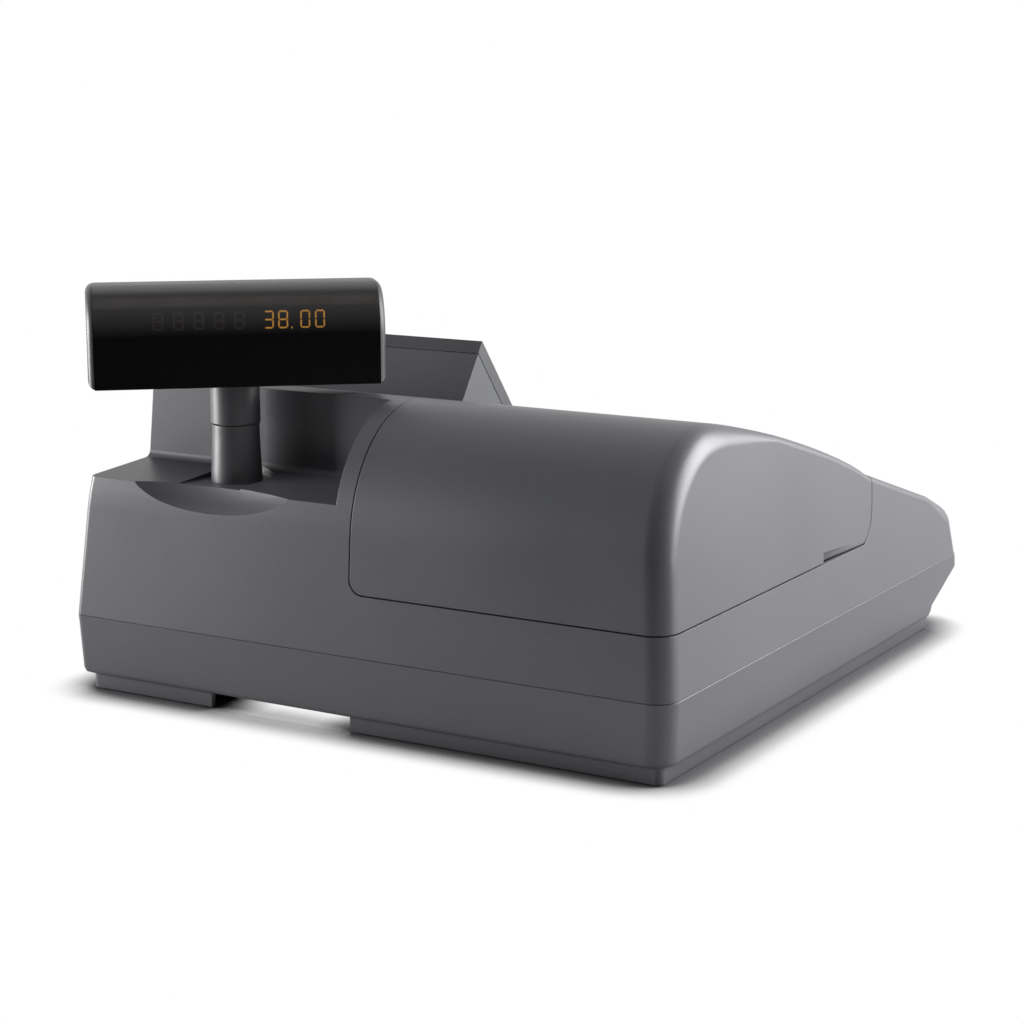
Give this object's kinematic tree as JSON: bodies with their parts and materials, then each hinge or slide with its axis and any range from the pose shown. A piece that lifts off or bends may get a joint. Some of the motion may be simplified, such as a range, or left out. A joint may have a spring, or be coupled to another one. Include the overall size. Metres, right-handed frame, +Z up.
{
  "type": "ticket register",
  "caption": "Counter-top ticket register with a sloping keyboard, twin-roll printer under a hinged cover, hooded operator screen and a turning customer display on a pole.",
  "frame": {"origin": "middle of the whole outline, turned display head included, at the height of the counter that the feet stand on", "axes": "+X to the operator's right, +Y from the keyboard towards the customer, +Z up"},
  "size_m": [0.3752, 0.4438, 0.2313],
  "materials": {
    "case_dark": "satin, fine grain",
    "cover_plastic": "satin, fine grain",
    "bezel_plastic": "satin, fine grain",
    "pole_plastic": "satin",
    "head_grey": "satin",
    "inner_plastic": "matt",
    "foot_rubber": "matt",
    "platen_rubber": "matt",
    "zinc_steel": "satin",
    "bright_steel": "polished",
    "bare_metal": "brushed",
    "lens_smoked": "polished, smoked",
    "window_clear": "clear",
    "lcd_glass": "glossy",
    "tube_glass": "glossy",
    "circuit_board": "lacquered",
    "membrane": "satin",
    "paper": "matt",
    "spool_plastic": "satin",
    "gear_plastic": "satin",
    "head_ceramic": "satin",
    "socket_plastic": "satin",
    "key_white": "satin",
    "key_grey": "satin",
    "key_blue": "satin",
    "key_red": "satin"
  },
  "bodies": {
    "case": {"lower_case": "case_dark", "upper_case": "case_dark", "rubber_feet": "foot_rubber", "case_screws": "zinc_steel", "hinge_pins": "bright_steel", "display_hood": "case_dark", "hood_bezel": "bezel_plastic", "operator_window": "window_clear", "operator_lcd": "lcd_glass", "pole_base": "pole_plastic", "keyboard_frame": "bezel_plastic", "plu_overlay": "membrane", "keyboard_board": "circuit_board", "mode_lock": "zinc_steel", "printer_frame": "inner_plastic", "feed_motors": "zinc_steel", "print_heads": "head_ceramic", "main_board": "circuit_board", "power_supply": "bare_metal", "port_sockets": "socket_plastic", "switch_frame": "socket_plastic"},
    "cover": {"printer_cover": "cover_plastic", "tear_bar": "bright_steel"},
    "display": {"pole_tube": "pole_plastic", "head_shell": "head_grey", "head_lens": "lens_smoked", "head_display": "tube_glass", "head_board": "circuit_board"},
    "lock_key": {"mode_key": "bright_steel"},
    "rocker": {"power_switch": "socket_plastic"},
    "receipt_paper": {"receipt_roll": "paper"},
    "journal_paper": {"journal_roll": "paper"},
    "spool": {"take_up_spool": "spool_plastic"},
    "receipt_feed": {"receipt_platen": "platen_rubber"},
    "journal_feed": {"journal_platen": "platen_rubber"},
    "receipt_drive": {"receipt_pinion": "gear_plastic"},
    "journal_drive": {"journal_pinion": "gear_plastic"},
    "key_00": {"key_00": "key_white"},
    "key_0": {"key_0": "key_white"},
    "key_point": {"key_point": "key_white"},
    "key_1": {"key_1": "key_white"},
    "key_2": {"key_2": "key_white"},
    "key_3": {"key_3": "key_white"},
    "key_4": {"key_4": "key_white"},
    "key_5": {"key_5": "key_white"},
    "key_6": {"key_6": "key_white"},
    "key_7": {"key_7": "key_white"},
    "key_8": {"key_8": "key_white"},
    "key_9": {"key_9": "key_white"},
    "key_quantity": {"key_quantity": "key_grey"},
    "key_price": {"key_price": "key_grey"},
    "key_clear": {"key_clear": "key_red"},
    "key_feed": {"key_feed": "key_grey"},
    "key_void": {"key_void": "key_grey"},
    "key_refund": {"key_refund": "key_grey"},
    "key_no_sale": {"key_no_sale": "key_grey"},
    "key_card": {"key_card": "key_grey"},
    "key_credit": {"key_credit": "key_grey"},
    "key_subtotal": {"key_subtotal": "key_grey"},
    "key_total": {"key_total": "key_blue"}
  },
  "joints": [
    {"name": "cover_hinge", "type": "hinge", "parent": "case", "child": "cover", "pos_m": [-0.085, 0.18482, 0.101], "axis": [-1, 0, 0], "range_deg": [0, 75]},
    {"name": "display_swivel", "type": "hinge", "parent": "case", "child": "display", "pos_m": [0.1002, 0.1555, 0.1543], "axis": [0, 0, 1], "range_deg": [-175.7, 94.3]},
    {"name": "mode_lock_turn", "type": "hinge", "parent": "case", "child": "lock_key", "pos_m": [0.152, -0.04306, 0.1265], "axis": [0, -0.3403, 0.9403], "range_deg": [-45, 135]},
    {"name": "power_rocker", "type": "hinge", "parent": "case", "child": "rocker", "pos_m": [0.1809, 0.1, 0.0265], "axis": [0, 0, -1], "range_deg": [0, 16]},
    {"name": "receipt_roll_spin", "type": "hinge", "parent": "case", "child": "receipt_paper", "pos_m": [-0.047, 0.112, 0.112], "axis": [1, 0, 0], "continuous": true},
    {"name": "journal_roll_spin", "type": "hinge", "parent": "case", "child": "journal_paper", "pos_m": [-0.133, 0.112, 0.112], "axis": [1, 0, 0], "continuous": true},
    {"name": "spool_spin", "type": "hinge", "parent": "case", "child": "spool", "pos_m": [-0.133, 0.028, 0.112], "axis": [1, 0, 0], "continuous": true},
    {"name": "receipt_platen_spin", "type": "hinge", "parent": "case", "child": "receipt_feed", "pos_m": [-0.047, -0.024, 0.107], "axis": [1, 0, 0], "continuous": true},
    {"name": "journal_platen_spin", "type": "hinge", "parent": "case", "child": "journal_feed", "pos_m": [-0.133, -0.024, 0.107], "axis": [1, 0, 0], "continuous": true},
    {"name": "receipt_pinion_spin", "type": "hinge", "parent": "case", "child": "receipt_drive", "pos_m": [-0.0145, -0.01407, 0.08833], "axis": [1, 0, 0], "continuous": true},
    {"name": "journal_pinion_spin", "type": "hinge", "parent": "case", "child": "journal_drive", "pos_m": [-0.1684, -0.01407, 0.08833], "axis": [1, 0, 0], "continuous": true},
    {"name": "key_00_press", "type": "slide", "parent": "case", "child": "key_00", "axis": [0, 0.2891, -0.9573], "range_m": [0, 0.0025], "stiffness_N_per_m": 250, "springref_m": -0.001},
    {"name": "key_0_press", "type": "slide", "parent": "case", "child": "key_0", "axis": [0, 0.2891, -0.9573], "range_m": [0, 0.0025], "stiffness_N_per_m": 250, "springref_m": -0.001},
    {"name": "key_point_press", "type": "slide", "parent": "case", "child": "key_point", "axis": [0, 0.2891, -0.9573], "range_m": [0, 0.0025], "stiffness_N_per_m": 250, "springref_m": -0.001},
    {"name": "key_1_press", "type": "slide", "parent": "case", "child": "key_1", "axis": [0, 0.2891, -0.9573], "range_m": [0, 0.0025], "stiffness_N_per_m": 250, "springref_m": -0.001},
    {"name": "key_2_press", "type": "slide", "parent": "case", "child": "key_2", "axis": [0, 0.2891, -0.9573], "range_m": [0, 0.0025], "stiffness_N_per_m": 250, "springref_m": -0.001},
    {"name": "key_3_press", "type": "slide", "parent": "case", "child": "key_3", "axis": [0, 0.2891, -0.9573], "range_m": [0, 0.0025], "stiffness_N_per_m": 250, "springref_m": -0.001},
    {"name": "key_4_press", "type": "slide", "parent": "case", "child": "key_4", "axis": [0, 0.2891, -0.9573], "range_m": [0, 0.0025], "stiffness_N_per_m": 250, "springref_m": -0.001},
    {"name": "key_5_press", "type": "slide", "parent": "case", "child": "key_5", "axis": [0, 0.2891, -0.9573], "range_m": [0, 0.0025], "stiffness_N_per_m": 250, "springref_m": -0.001},
    {"name": "key_6_press", "type": "slide", "parent": "case", "child": "key_6", "axis": [0, 0.2891, -0.9573], "range_m": [0, 0.0025], "stiffness_N_per_m": 250, "springref_m": -0.001},
    {"name": "key_7_press", "type": "slide", "parent": "case", "child": "key_7", "axis": [0, 0.2891, -0.9573], "range_m": [0, 0.0025], "stiffness_N_per_m": 250, "springref_m": -0.001},
    {"name": "key_8_press", "type": "slide", "parent": "case", "child": "key_8", "axis": [0, 0.2891, -0.9573], "range_m": [0, 0.0025], "stiffness_N_per_m": 250, "springref_m": -0.001},
    {"name": "key_9_press", "type": "slide", "parent": "case", "child": "key_9", "axis": [0, 0.2891, -0.9573], "range_m": [0, 0.0025], "stiffness_N_per_m": 250, "springref_m": -0.001},
    {"name": "key_quantity_press", "type": "slide", "parent": "case", "child": "key_quantity", "axis": [0, 0.2891, -0.9573], "range_m": [0, 0.0025], "stiffness_N_per_m": 250, "springref_m": -0.001},
    {"name": "key_price_press", "type": "slide", "parent": "case", "child": "key_price", "axis": [0, 0.2891, -0.9573], "range_m": [0, 0.0025], "stiffness_N_per_m": 250, "springref_m": -0.001},
    {"name": "key_clear_press", "type": "slide", "parent": "case", "child": "key_clear", "axis": [0, 0.2891, -0.9573], "range_m": [0, 0.0025], "stiffness_N_per_m": 250, "springref_m": -0.001},
    {"name": "key_feed_press", "type": "slide", "parent": "case", "child": "key_feed", "axis": [0, 0.2891, -0.9573], "range_m": [0, 0.0025], "stiffness_N_per_m": 250, "springref_m": -0.001},
    {"name": "key_void_press", "type": "slide", "parent": "case", "child": "key_void", "axis": [0, 0.2891, -0.9573], "range_m": [0, 0.0025], "stiffness_N_per_m": 250, "springref_m": -0.001},
    {"name": "key_refund_press", "type": "slide", "parent": "case", "child": "key_refund", "axis": [0, 0.2891, -0.9573], "range_m": [0, 0.0025], "stiffness_N_per_m": 250, "springref_m": -0.001},
    {"name": "key_no_sale_press", "type": "slide", "parent": "case", "child": "key_no_sale", "axis": [0, 0.2891, -0.9573], "range_m": [0, 0.0025], "stiffness_N_per_m": 250, "springref_m": -0.001},
    {"name": "key_card_press", "type": "slide", "parent": "case", "child": "key_card", "axis": [0, 0.2891, -0.9573], "range_m": [0, 0.0025], "stiffness_N_per_m": 250, "springref_m": -0.001},
    {"name": "key_credit_press", "type": "slide", "parent": "case", "child": "key_credit", "axis": [0, 0.2891, -0.9573], "range_m": [0, 0.0025], "stiffness_N_per_m": 250, "springref_m": -0.001},
    {"name": "key_subtotal_press", "type": "slide", "parent": "case", "child": "key_subtotal", "axis": [0, 0.2891, -0.9573], "range_m": [0, 0.0025], "stiffness_N_per_m": 250, "springref_m": -0.001},
    {"name": "key_total_press", "type": "slide", "parent": "case", "child": "key_total", "axis": [0, 0.2891, -0.9573], "range_m": [0, 0.0025], "stiffness_N_per_m": 250, "springref_m": -0.001}
  ],
  "couplings": [
    {"joint": "receipt_pinion_spin", "follows": "receipt_platen_spin", "ratio": -2.5},
    {"joint": "journal_pinion_spin", "follows": "journal_platen_spin", "ratio": -2.5}
  ]
}
